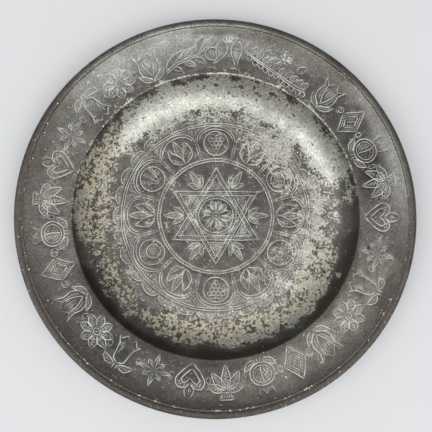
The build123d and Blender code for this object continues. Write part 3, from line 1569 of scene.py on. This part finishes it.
@dataclass
class EngravedPlate:
    """The plate as one closed skin, turned from its section and engraved.

    Args:
        form: its section.
        border: the graver with the cuts on the flange.
        medallion: the graver with the cuts on the floor.
        steps: number of stretches round the plate.
        floor_rim: edge of the engraved floor, as distance from the axis in millimetres.
        flange_rims: inner and outer edge of the engraved flange.
        warp: how far the flange has sunk at the most.
        warp_size: width of the hollows where it has sunk.
        warp_start: distance from the axis where the sinking begins.
        warp_run: width over which it grows to the full.
        dent: depth of the small dents.
        dent_size: width of the dents.
        dent_height: height over the table from which they are full, so that the plate stands flat.
        wobble: how far the patches of wear stray from their true shapes.
        wobble_size: width of the waves in which they stray.
        upper_disc: middle and radius of the upper face in the layout, as shares of its side.
        under_disc: the same for the underside.
        lowest_edge: height where the upper face's layout ends, under the outer edge.
        downward: least downward share of the normal of a face on the underside.
        weld: points nearer to each other than this become one.
        tolerance: how near to the axis or to a rim a point counts as being there.
    """

    form: PlateForm
    border: Graver
    medallion: Graver
    steps: int = 360
    floor_rim: float = 96.6
    flange_rims: tuple[float, float] = (127.3, 166.9)
    warp: float = 0.3
    warp_size: float = 70.0
    warp_start: float = 97.0
    warp_run: float = 40.0
    dent: float = 0.05
    dent_size: float = 13.0
    dent_height: float = 2.0
    wobble: float = 7.0
    wobble_size: float = 16.0
    upper_disc: tuple[float, float] = (0.405, 0.398)
    under_disc: tuple[float, float] = (0.805, 0.18)
    lowest_edge: float = 24.0
    downward: float = 0.05
    weld: float = 0.0005
    tolerance: float = 0.01

    def build(self) -> bpy.types.Object:
        """Models the plate.

        Returns:
            Its object, at the origin.
        """
        mesh = bmesh.new()
        inner, outer = self.flange_rims
        self.turn(mesh, self.form.upper_section(self.floor_rim, inner))
        self.turn(mesh, self.form.lower_section(outer))
        for face in mesh.faces:
            face.smooth = True
        floor = EngravedFace(lambda radius: self.form.metal)
        floor.add_to(mesh, [self.rim(mesh, self.floor_rim)], self.medallion.cuts)
        flange = EngravedFace(self.form.flange_height)
        rims = [self.rim(mesh, outer), self.rim(mesh, inner)]
        flange.add_to(mesh, rims, self.border.cuts)
        bmesh.ops.remove_doubles(mesh, verts=mesh.verts, dist=self.weld * MM)
        bmesh.ops.recalc_face_normals(mesh, faces=mesh.faces)
        for face in mesh.faces:
            if face.normal.z < -self.downward and face.material_index != Slot.CUT.value:
                face.material_index = Slot.UNDER.value
        self.settle(mesh)
        self.unwrap(mesh)
        self.mark_wear_and_light(mesh)
        data = bpy.data.meshes.new("engraved_plate")
        mesh.to_mesh(data)
        open_edges = sum(edge.is_boundary for edge in mesh.edges)
        log.info("engraved_plate: %d faces, %d open edges", len(mesh.faces), open_edges)
        mesh.free()
        plate = bpy.data.objects.new("engraved_plate", data)
        bpy.context.scene.collection.objects.link(plate)
        return plate

    def turn(self, mesh: Mesh, section: Sequence[Vector]) -> None:
        """Turns a half section round the axis, as on the lathe.

        Args:
            mesh: the plate's mesh.
            section: points as distance from the axis and height, in millimetres.
        """
        points = [mesh.verts.new(Vector((p.x, 0.0, p.y)) * MM) for p in section]
        lines = [mesh.edges.new(pair) for pair in zip(points, points[1:])]
        bmesh.ops.spin(
            mesh,
            geom=[*points, *lines],
            cent=(0, 0, 0),
            axis=(0, 0, 1),
            angle=FULL_TURN,
            steps=self.steps,
            use_merge=True,
        )
        if section[-1].x < self.tolerance:
            pole = [v for v in mesh.verts if v.co.to_2d().length < self.tolerance * MM]
            bmesh.ops.remove_doubles(mesh, verts=pole, dist=self.tolerance * MM)

    def rim(self, mesh: Mesh, radius: float) -> list[Vertex]:
        """The ring of open vertices at a distance from the axis.

        Args:
            mesh: the plate's mesh.
            radius: the distance in millimetres.

        Returns:
            The vertices in order round the axis.
        """
        ring = [
            vertex
            for vertex in mesh.verts
            if vertex.is_boundary and abs(vertex.co.to_2d().length / MM - radius) < self.tolerance
        ]
        return sorted(ring, key=lambda vertex: math.atan2(vertex.co.y, vertex.co.x))

    def settle(self, mesh: Mesh) -> None:
        """Lets the flange sink a little here and there, and the metal go uneven, as old pewter does.

        Args:
            mesh: the plate's mesh.
        """
        for vertex in mesh.verts:
            place = vertex.co / MM
            flat = Vector((place.x, place.y, 0.0))
            growth = min(1.0, max(0.0, (flat.length - self.warp_start) / self.warp_run))
            sink = self.warp * growth * (noise.noise(flat / self.warp_size) - 1.0) / 2
            lifted = min(1.0, place.z / self.dent_height)
            dents = self.dent * (noise.noise(flat / self.dent_size) - 1.0) * lifted
            vertex.co.z += (sink + dents) * MM

    def unwrap(self, mesh: Mesh) -> None:
        """Lays the upper face and the underside out as two discs.

        Args:
            mesh: the plate's mesh.
        """
        layer = mesh.loops.layers.uv.new("OFBake")
        reach = self.form.unrolled(self.form.radius, self.lowest_edge)
        for face in mesh.faces:
            under = face.material_index == Slot.UNDER.value
            middle, size = self.under_disc if under else self.upper_disc
            for loop in face.loops:
                place = loop.vert.co / MM
                flat = place.to_2d()
                height = self.form.edge_point.y if under else place.z
                way = self.form.unrolled(flat.length, height) / reach * size
                out = flat.normalized() if flat.length > self.tolerance else flat
                loop[layer].uv = Vector((middle, middle)) + out * way

    def mark_wear_and_light(self, mesh: Mesh) -> None:
        """Writes the share of each kind of wear and of painted light on the vertices.

        Args:
            mesh: the plate's mesh.
        """
        layers = {wear: mesh.verts.layers.float.new(wear.value) for wear in WearAndLight}
        for vertex in mesh.verts:
            place = Vector((vertex.co.x, vertex.co.y, 0.0)) / MM
            wobble = noise.noise_vector(place / self.wobble_size) * self.wobble
            for wear, patches in PATCHES.items():
                vertex[layers[wear]] = sum(patch.share(place, wobble) for patch in patches)


def linear(colour: str) -> tuple[float, float, float, float]:
    """A colour in linear light.

    Args:
        colour: the colour as sRGB hex.

    Returns:
        Its red, green and blue, and full opacity.
    """
    shares = [int(colour[k : k + 2], 16) / 255 for k in (1, 3, 5)]
    red, green, blue = (s / 12.92 if s <= 0.04045 else ((s + 0.055) / 1.055) ** 2.4 for s in shares)
    return red, green, blue, 1.0


def add_node(
    tree: Tree, kind: str, inputs: dict[str | int, object] | None = None, **settings: object
) -> Node:
    """Adds a shader node.

    Args:
        tree: the tree that it joins.
        kind: its type, without ShaderNode in front.
        inputs: for each input, by name or number, a value, a socket or a node to link from.
        settings: its own settings by name.

    Returns:
        The node.
    """
    node = tree.nodes.new(f"ShaderNode{kind}")
    for name, value in settings.items():
        setattr(node, name, value)
    for name, value in (inputs or {}).items():
        if isinstance(value, Node):
            value = next(output for output in value.outputs if not output.is_unavailable)
        if isinstance(value, bpy.types.NodeSocket):
            tree.links.new(value, node.inputs[name])
        else:
            node.inputs[name].default_value = value
    return node


def new_material(name: str) -> tuple[bpy.types.Material, Tree, Node]:
    """An empty material with nodes.

    Args:
        name: its name.

    Returns:
        The material, its tree, and the node that gives the place on the piece in millimetres.
    """
    material = bpy.data.materials.new(name)
    material.use_nodes = True
    tree = material.node_tree
    tree.nodes.clear()
    place = add_node(tree, "TexCoord").outputs["Object"]
    return material, tree, add_node(tree, "VectorMath", {0: place, 3: 1 / MM}, operation="SCALE")


class Mottle(Enum):
    """The noises that break the old metal up.

    Each has the size of its largest features in millimetres, how many times finer ones are laid over
    them, how strong those are, and whether it is shifted, so that two noises alike don't coincide.
    """

    CLOUD = (30.0, 3.0, 0.5, False)
    ISLAND = (9.0, 8.0, 0.7, False)
    CRUST = (9.0, 8.0, 0.72, True)
    GRAIN = (1.9, 3.0, 0.65, True)
    SPECKLE = (1.2, 2.0, 0.75, False)
    PITTING = (3.0, 5.0, 0.74, True)


@dataclass(frozen=True)
class OldPewter:
    """Cast pewter that has darkened with age, rubbed bare in places and scaled in others.

    Its tin gives a soft grey shine under a brown-grey oxide. The whole finish is one metal surface: its
    masks come from the wear written on the mesh, broken up by noise in millimetres. Some of that is
    painted light: a painted sheen on the oxide, painted shade that darkens it, and the dark film, which
    is partly painted shade.

    Args:
        name: the material's name.
        dark: the oxide where it is thick.
        middle: the oxide where it is thin.
        painted_sheen: a painted sheen, the lamps' reflection on the flange's upturned margin and the reed.
        bare: bare metal.
        rubbed: bare metal that has gone dull again.
        film: the dark film of dirt and wax, which also stands in as painted shade.
        scale: the beige scale that grows on bare metal.
        pit: the bottom of a pit.
        nick: a small fresh knock.
        nick_spacing: distance between two places where a nick may be, in millimetres.
        roughness: roughness of the oxide, about its middle.
        relief: depth of the metal's unevenness in millimetres.
        shift: how far the shifted noises lie aside, in millimetres.
        ragged_mean: the mean of the noise that breaks the wear's edges up.
    """

    name: str = "pewter_oxidised"
    dark: str = "#57544f"
    middle: str = "#7c7973"
    # A painted sheen: the lamps' reflection on the flange's upturned margin and on the reed.
    painted_sheen: str = "#b6b8b5"
    bare: str = "#c4c4bb"
    rubbed: str = "#a4a499"
    # Dark film of dirt and wax, also laid as painted shade where faces turn from the lamps.
    film: str = "#544f4a"
    scale: str = "#b3ac98"
    pit: str = "#2c2925"
    nick: str = "#d0cfc8"
    nick_spacing: float = 5.0
    roughness: float = 0.36
    relief: float = 0.2
    shift: tuple[float, float, float] = (211.0, 87.0, 0.0)
    ragged_mean: float = 0.825

    def build(self) -> bpy.types.Material:
        """Makes the material.

        Returns:
            The material.
        """
        material, tree, place = new_material(self.name)
        aside = add_node(tree, "VectorMath", {0: place, 1: self.shift}, operation="ADD")
        noises = []
        for size, detail, strength, shifted in (mottle.value for mottle in Mottle):
            settings = {"Scale": 1 / size, "Detail": detail, "Roughness": strength}
            noises.append(add_node(tree, "TexNoise", {"Vector": aside if shifted else place, **settings}))
        cloud, island, crust, grain, speckle, pitting = noises

        ragged = add_node(tree, "Math", {0: grain, 1: 0.65, 2: island}, operation="MULTIPLY_ADD")
        bare = self.mask(tree, WearAndLight.BARE, ragged, 2.4, 0.07, self.ragged_mean)
        scale = self.mask(tree, WearAndLight.SCALE, crust, 2.4, 0.14)
        # The dark film, partly painted shade at the bottom of the well's side and of the flange's margin.
        film = self.mask(tree, WearAndLight.FILM, ragged, 1.3, 0.18, self.ragged_mean)
        pale = add_node(tree, "Attribute", attribute_name=WearAndLight.PALE.value).outputs["Fac"]

        thin = add_node(tree, "Math", {0: island, 1: 1.6, 2: cloud}, operation="MULTIPLY_ADD")
        thin = add_node(tree, "MapRange", {0: thin, 1: 0.95, 2: 1.75})
        # A painted sheen over the oxide, where the attribute of painted light is above 0.
        painted_sheen_share = add_node(tree, "MapRange", {0: pale, 4: 0.6})
        layers = ((thin, self.middle), (painted_sheen_share, self.painted_sheen), (film, self.film))
        oxide = self.layered(tree, linear(self.dark), layers)
        clean = add_node(tree, "MapRange", {0: crust, 1: 0.36, 2: 0.62})
        metal = self.layered(tree, linear(self.rubbed), ((clean, self.bare), (scale, self.scale)))
        nicks = self.nicks(tree, place, film, bare)
        pits = self.pits(tree, pitting, crust, scale, bare)
        colour = self.layered(tree, oxide, ((bare, metal), (nicks, self.nick), (pits, self.pit)))

        # Tone from the grain and the speckle, and painted shade: darker where the attribute of painted light
        # falls below 0.
        shade = add_node(tree, "MapRange", {0: grain, 1: 0.25, 2: 0.75, 3: 0.82, 4: 1.18})
        painted_shade = add_node(tree, "MapRange", {0: pale, 1: -1.0, 2: 0.0})
        speckle = add_node(tree, "MapRange", {0: speckle, 1: 0.38, 2: 0.62, 3: 0.72, 4: 1.28})
        for factor in (painted_shade, speckle):
            shade = add_node(tree, "Math", {0: shade, 1: factor}, operation="MULTIPLY")
        factors = {0: 1.0, 6: colour, 7: shade}
        colour = add_node(tree, "Mix", factors, data_type="RGBA", blend_type="MULTIPLY")

        crusted = add_node(tree, "Math", {0: scale, 1: bare}, operation="MULTIPLY")
        smoothest, roughest = self.roughness - 0.08, self.roughness + 0.12
        rough = add_node(tree, "MapRange", {0: cloud, 3: smoothest, 4: roughest})
        for share, change in ((crusted, 0.12), (bare, 0.1), (clean, -0.06)):
            rough = add_node(tree, "Math", {0: share, 1: change, 2: rough}, operation="MULTIPLY_ADD")
        metallic = add_node(tree, "MapRange", {0: crusted, 3: 0.92, 4: 0.45})
        height = add_node(tree, "Math", {0: grain, 1: 0.3, 2: island}, operation="MULTIPLY_ADD")
        bump = add_node(tree, "Bump", {"Height": height, "Strength": 0.36, "Distance": self.relief * MM})
        finish = {"Base Color": colour, "Metallic": metallic, "Roughness": rough, "Normal": bump}
        surface = add_node(tree, "BsdfPrincipled", finish)
        add_node(tree, "OutputMaterial", {"Surface": surface})
        return material

    def nicks(self, tree: Tree, place: Node, film: Node, bare: Node) -> Node:
        """Small bright knocks, most of them where the metal is used or where the dark film and painted shade
        lie, faint on bare metal.

        Args:
            tree: the material's tree.
            place: the place in millimetres.
            film: the share of the dark film and painted shade.
            bare: the share of bare metal.

        Returns:
            A node that gives their share.
        """
        spots = {"Vector": place, "Scale": 1 / self.nick_spacing}
        cells = add_node(tree, "TexVoronoi", spots, voronoi_dimensions="2D")
        chance = add_node(tree, "SeparateXYZ", {0: cells.outputs["Color"]})
        size = add_node(tree, "Math", {0: chance, 1: 0.2, 2: -0.168}, operation="MULTIPLY_ADD")
        worn = add_node(tree, "Attribute", attribute_name=WearAndLight.BARE.value).outputs["Fac"]
        used = add_node(tree, "MapRange", {0: worn, 1: 0.05, 2: 0.35, 4: 0.12})
        size = add_node(tree, "Math", {0: size, 1: used})
        size = add_node(tree, "Math", {0: film, 1: 0.05, 2: size}, operation="MULTIPLY_ADD")
        nick = add_node(tree, "Math", {0: cells.outputs["Distance"], 1: size}, operation="LESS_THAN")
        clear = add_node(tree, "MapRange", {0: bare, 3: 1.0, 4: 0.3})
        return add_node(tree, "Math", {0: nick, 1: clear}, operation="MULTIPLY")

    def pits(self, tree: Tree, pitting: Node, crust: Node, scale: Node, bare: Node) -> Node:
        """Dark pits in the bare metal, more of them under scale.

        Args:
            tree: the material's tree.
            pitting: the noise that makes them.
            crust: the noise of the scale.
            scale: the share of scale.
            bare: the share of bare metal.

        Returns:
            A node that gives their share.
        """
        depth = pitting
        for share, change in ((crust, 0.4), (scale, 0.09)):
            depth = add_node(tree, "Math", {0: share, 1: change, 2: depth}, operation="MULTIPLY_ADD")
        deep = add_node(tree, "MapRange", {0: depth, 1: 0.785, 2: 0.83, 4: 0.9})
        return add_node(tree, "Math", {0: deep, 1: bare}, operation="MULTIPLY")

    def mask(
        self, tree: Tree, wear: WearAndLight, ragged: Node, reach: float, edge: float, middle: float = 0.5
    ) -> Node:
        """The mask of one kind of wear or painted shade, which flakes off in islands where it is neither full
        nor absent.

        Args:
            tree: the material's tree.
            wear: the kind.
            ragged: the noise that breaks its edge up.
            reach: how far the noise carries.
            edge: width of the change from without to with.
            middle: the noise's mean.

        Returns:
            A node that gives 1 where the metal is worn this way and 0 elsewhere.
        """
        share = add_node(tree, "Attribute", attribute_name=wear.value).outputs["Fac"]
        broken = add_node(tree, "Math", {0: ragged, 1: reach, 2: share}, operation="MULTIPLY_ADD")
        level = 0.5 + reach * middle
        levels = {0: broken, 1: level - edge, 2: level + edge}
        return add_node(tree, "MapRange", levels, interpolation_type="SMOOTHSTEP")

    def layered(self, tree: Tree, ground: object, layers: Iterable[tuple[Node, object]]) -> Node:
        """Lays colours over a ground.

        Args:
            tree: the material's tree.
            ground: the colour under them.
            layers: for each layer its share from 0 to 1, and its colour as sRGB hex or as a node.

        Returns:
            The node that gives the colour on top.
        """
        for share, colour in layers:
            over = linear(colour) if isinstance(colour, str) else colour
            ground = add_node(tree, "Mix", {0: share, 6: ground, 7: over}, data_type="RGBA")
        return ground


@dataclass(frozen=True)
class CloudedFinish:
    """An even finish, clouded between two colours.

    Args:
        name: the material's name.
        dark: its darker colour.
        light: its lighter colour.
        cloud_scale: how fast the two change, per millimetre.
        cloud_detail: how many times finer clouds are laid over them.
        levels: the noise's levels where it is wholly dark and wholly light.
        metallic: how metallic it is.
        roughness: its roughness.
    """

    name: str
    dark: str
    light: str
    cloud_scale: float
    cloud_detail: float
    levels: tuple[float, float]
    metallic: float
    roughness: float

    def build(self) -> bpy.types.Material:
        """Makes the material.

        Returns:
            The material.
        """
        material, tree, place = new_material(self.name)
        spots = {"Vector": place, "Scale": self.cloud_scale, "Detail": self.cloud_detail}
        cloud = add_node(tree, "TexNoise", spots)
        share = add_node(tree, "MapRange", {0: cloud, 1: self.levels[0], 2: self.levels[1]})
        colours = {0: share, 6: linear(self.dark), 7: linear(self.light)}
        colour = add_node(tree, "Mix", colours, data_type="RGBA")
        finish = {"Base Color": colour, "Metallic": self.metallic, "Roughness": self.roughness}
        surface = add_node(tree, "BsdfPrincipled", finish)
        add_node(tree, "OutputMaterial", {"Surface": surface})
        return material


# Walls of a graver's cut, once bright and dulled since, which catch the light from all sides.
CUT_PEWTER = CloudedFinish(
    "pewter_cut",
    dark="#928f88",
    light="#c9c9c1",
    cloud_scale=0.12,
    cloud_detail=4.0,
    levels=(0.35, 0.6),
    metallic=0.25,
    roughness=0.5,
)
# The photographer's matt paper.
PALE_PAPER = CloudedFinish(
    "paper_pale",
    dark="#d4d5d6",
    light="#d9dadb",
    cloud_scale=0.006,
    cloud_detail=3.0,
    levels=(0.0, 1.0),
    metallic=0.0,
    roughness=0.9,
)


@dataclass(frozen=True)
class SkimmedPewter:
    """The underside as the lathe's tool left it, oxidised, worn where it stands, and scratched.

    Args:
        name: the material's name.
        dark: oxide in the turned grooves.
        pale: their worn ridges.
        groove_pitch: distance between the broadest turned grooves in millimetres.
        groove_depth: their depth in millimetres.
        groove_contrast: how strongly they show against the clouds of the oxide.
        cloud_scale: how fast those clouds change, per millimetre.
        foot_radius: middle of the worn ring that the plate stands on.
        foot_half_width: half that ring's width.
        foot_wear: how much paler the ring is.
        scratch_turns: directions of the two sets of scratches, in radians.
        scratch_scale: how fast they change along, across and through, per millimetre.
        scratch_wear: how much paler a scratch is.
        metallic: how metallic the skin is.
        roughness: its roughness.
    """

    name: str = "pewter_skimmed"
    dark: str = "#625e59"
    pale: str = "#a09c95"
    groove_pitch: float = 7.0
    groove_depth: float = 0.12
    groove_contrast: float = 2.4
    cloud_scale: float = 0.04
    foot_radius: float = 93.0
    foot_half_width: float = 2.2
    foot_wear: float = 0.4
    scratch_turns: tuple[float, float] = (0.5, 1.9)
    scratch_scale: tuple[float, float, float] = (0.02, 1.1, 0.0)
    scratch_wear: float = 0.35
    metallic: float = 0.9
    roughness: float = 0.42

    def build(self) -> bpy.types.Material:
        """Makes the material.

        Returns:
            The material.
        """
        material, tree, place = new_material(self.name)
        spots = {"Vector": place, "Scale": self.cloud_scale, "Detail": 5.0}
        tone = add_node(tree, "TexNoise", spots)
        flat = add_node(tree, "VectorMath", {0: place, 1: (1.0, 1.0, 0.0)}, operation="MULTIPLY")
        radius = add_node(tree, "VectorMath", {0: flat}, operation="LENGTH").outputs["Value"]
        turns = add_node(tree, "Math", {0: radius, 1: 1 / self.groove_pitch}, operation="MULTIPLY")
        bands = {"W": turns, "Detail": 4.0, "Roughness": 0.6}
        ridges = add_node(tree, "TexNoise", bands, noise_dimensions="1D")
        ring = {0: radius, 1: self.foot_radius, 2: self.foot_half_width}
        worn = add_node(tree, "Math", ring, operation="COMPARE")
        for share, change in ((ridges, self.groove_contrast), (worn, self.foot_wear)):
            tone = add_node(tree, "Math", {0: share, 1: change, 2: tone}, operation="MULTIPLY_ADD")
        for turn in self.scratch_turns:
            along = add_node(tree, "VectorRotate", {"Vector": place, "Angle": turn})
            stretch = {0: along, 1: self.scratch_scale}
            along = add_node(tree, "VectorMath", stretch, operation="MULTIPLY")
            scratch = add_node(tree, "TexNoise", {"Vector": along, "Scale": 1.0, "Detail": 1.0})
            levels = {0: scratch, 1: 0.68, 2: 0.72, 3: 0.0, 4: self.scratch_wear}
            scratch = add_node(tree, "MapRange", levels)
            tone = add_node(tree, "Math", {0: tone, 1: scratch})
        share = add_node(tree, "MapRange", {0: tone, 1: 1.2, 2: 2.3})
        colours = {0: share, 6: linear(self.dark), 7: linear(self.pale)}
        colour = add_node(tree, "Mix", colours, data_type="RGBA")
        depth = self.groove_depth * MM
        bump = add_node(tree, "Bump", {"Height": ridges, "Strength": 0.5, "Distance": depth})
        finish = {"Metallic": self.metallic, "Roughness": self.roughness}
        surface = add_node(tree, "BsdfPrincipled", {"Base Color": colour, "Normal": bump, **finish})
        add_node(tree, "OutputMaterial", {"Surface": surface})
        return material


@dataclass(frozen=True)
class SoftBox:
    """A square lamp that faces the plate.

    Args:
        name: its name.
        azimuth: direction in degrees, counter-clockwise from the plate's right.
        elevation: height over the horizon in degrees.
        distance: distance from the plate in metres.
        size: length of a side in metres.
        radiance: how bright its face is, where 1 is as bright as white paper in full light.
    """

    name: str
    azimuth: float
    elevation: float
    distance: float
    size: float
    radiance: float

    def hang(self) -> None:
        """Puts the lamp up."""
        flat, up = math.radians(self.azimuth), math.radians(self.elevation)
        way = Vector((math.cos(up) * math.cos(flat), math.cos(up) * math.sin(flat), math.sin(up)))
        data = bpy.data.lights.new(self.name, "AREA")
        data.shape = "SQUARE"
        data.size = self.size
        data.energy = self.radiance * math.pi * self.size**2
        lamp = bpy.data.objects.new(self.name, data)
        turn = way.to_track_quat("Z", "Y").to_matrix().to_4x4()
        lamp.matrix_world = Matrix.Translation(way * self.distance) @ turn
        bpy.context.scene.collection.objects.link(lamp)


@dataclass(frozen=True)
class Camera:
    """The camera, almost straight above the plate.

    Args:
        place: where it stands, in millimetres.
        target: the point in the middle of its picture, in millimetres.
        lens: focal length in millimetres.
        sensor: width of its sensor in millimetres.
        nearest: the nearest thing that it sees, in metres.
    """

    place: tuple[float, float, float] = (-16.6, -76.2, 637.1)
    target: tuple[float, float, float] = (-0.5, -2.6, 22.0)
    lens: float = 59.03
    sensor: float = 36.0
    nearest: float = 0.05

    def set_up(self) -> None:
        """Makes the camera and has the scene look through it, with +Y up in the picture."""
        data = bpy.data.cameras.new("camera")
        data.lens = self.lens
        data.sensor_width = self.sensor
        data.clip_start = self.nearest
        camera = bpy.data.objects.new("camera", data)
        back = (Vector(self.place) - Vector(self.target)).normalized()
        right = Vector((0, 1, 0)).cross(back).normalized()
        turn = Matrix((right, back.cross(right), back)).transposed().to_4x4()
        camera.matrix_world = Matrix.Translation(Vector(self.place) * MM) @ turn
        bpy.context.scene.collection.objects.link(camera)
        bpy.context.scene.camera = camera


@dataclass(frozen=True)
class Studio:
    """Paper under the plate, soft light over it and a grey room round it.

    Args:
        paper: finish of the floor.
        boxes: the lamps.
        room_bright: brightness of the room on the side of the main light.
        room_dark: brightness on the other side.
        room_above: brightness right overhead, where the photographer stands in the light.
        bright_way: direction of the bright side.
        room_colour: colour of the room's light.
        wall_colour: colour of the wall where the camera sees it.
        paper_half: half the paper's width in metres.
        paper_drop: how far the paper lies under the plate, in metres, so that they don't flicker.
    """

    paper: CloudedFinish
    boxes: tuple[SoftBox, ...]
    room_bright: float = 0.95
    room_dark: float = 0.35
    room_above: float = 0.7
    bright_way: tuple[float, float, float] = (-0.1, -0.99, 0.0)
    room_colour: str = "#fcfdff"
    wall_colour: str = "#e3e4e6"
    paper_half: float = 14.0
    paper_drop: float = 0.00005

    def set_up(self) -> None:
        """Builds the floor, the lamps and the room."""
        mesh = bmesh.new()
        bmesh.ops.create_grid(mesh, x_segments=2, y_segments=2, size=self.paper_half)
        bmesh.ops.translate(mesh, verts=mesh.verts, vec=(0, 0, -self.paper_drop))
        data = bpy.data.meshes.new("paper")
        mesh.to_mesh(data)
        mesh.free()
        data.materials.append(self.paper.build())
        floor = bpy.data.objects.new("paper", data)
        bpy.context.scene.collection.objects.link(floor)
        for box in self.boxes:
            box.hang()
        self.light_room()

    def light_room(self) -> None:
        """Gives the room its brightness, and a pale wall where the camera sees it."""
        world = bpy.data.worlds.new("room")
        world.use_nodes = True
        tree = world.node_tree
        tree.nodes.clear()
        way = add_node(tree, "TexCoord").outputs["Generated"]
        side = add_node(tree, "VectorMath", {0: way, 1: self.bright_way}, operation="DOT_PRODUCT")
        levels = {0: side.outputs["Value"], 1: -0.9, 2: 0.9, 3: self.room_dark, 4: self.room_bright}
        level = add_node(tree, "MapRange", levels, interpolation_type="SMOOTHSTEP")
        height = add_node(tree, "SeparateXYZ", {0: way}).outputs["Z"]
        levels = {0: height, 1: 0.86, 2: 0.985}
        over = add_node(tree, "MapRange", levels, interpolation_type="SMOOTHSTEP")
        level = add_node(tree, "Mix", {0: over, 2: level, 3: self.room_above})
        room = add_node(tree, "Background", {"Color": linear(self.room_colour), "Strength": level})
        wall = add_node(tree, "Background", {"Color": linear(self.wall_colour), "Strength": 1.0})
        seen = add_node(tree, "LightPath").outputs["Is Camera Ray"]
        mixed = add_node(tree, "MixShader", {0: seen, 1: room, 2: wall})
        add_node(tree, "OutputWorld", {"Surface": mixed})
        bpy.context.scene.world = world
        bpy.context.scene.view_settings.view_transform = "Standard"


def main() -> None:
    """Builds, dresses and lights the plate."""
    logging.basicConfig(level=logging.INFO, format="%(message)s")
    noise.seed_set(NOISE_SEED)
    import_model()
    low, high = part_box("plate")
    form = PlateForm(diameter=(high.x - low.x) / MM - INSIDE_SOLID)

    border = Graver(seed=11, line_width=0.72)
    Border(border).engrave()
    log.info("border: %d cuts", len(border.cuts))
    medallion = Graver(seed=23, line_width=0.66)
    Medallion(medallion).engrave()
    log.info("medallion: %d cuts", len(medallion.cuts))

    plate = EngravedPlate(form, border, medallion).build()
    for finish in (OldPewter(), CUT_PEWTER, SkimmedPewter()):
        plate.data.materials.append(finish.build())
    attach(plate, "root")
    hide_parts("plate")

    boxes = (
        SoftBox("left_window", azimuth=-157, elevation=61, distance=3.0, size=2.2, radiance=1.75),
        SoftBox("right_window", azimuth=-55, elevation=66, distance=3.0, size=2.4, radiance=1.75),
    )
    Studio(PALE_PAPER, boxes).set_up()
    Camera().set_up()


if __name__ == "__main__":
    main()
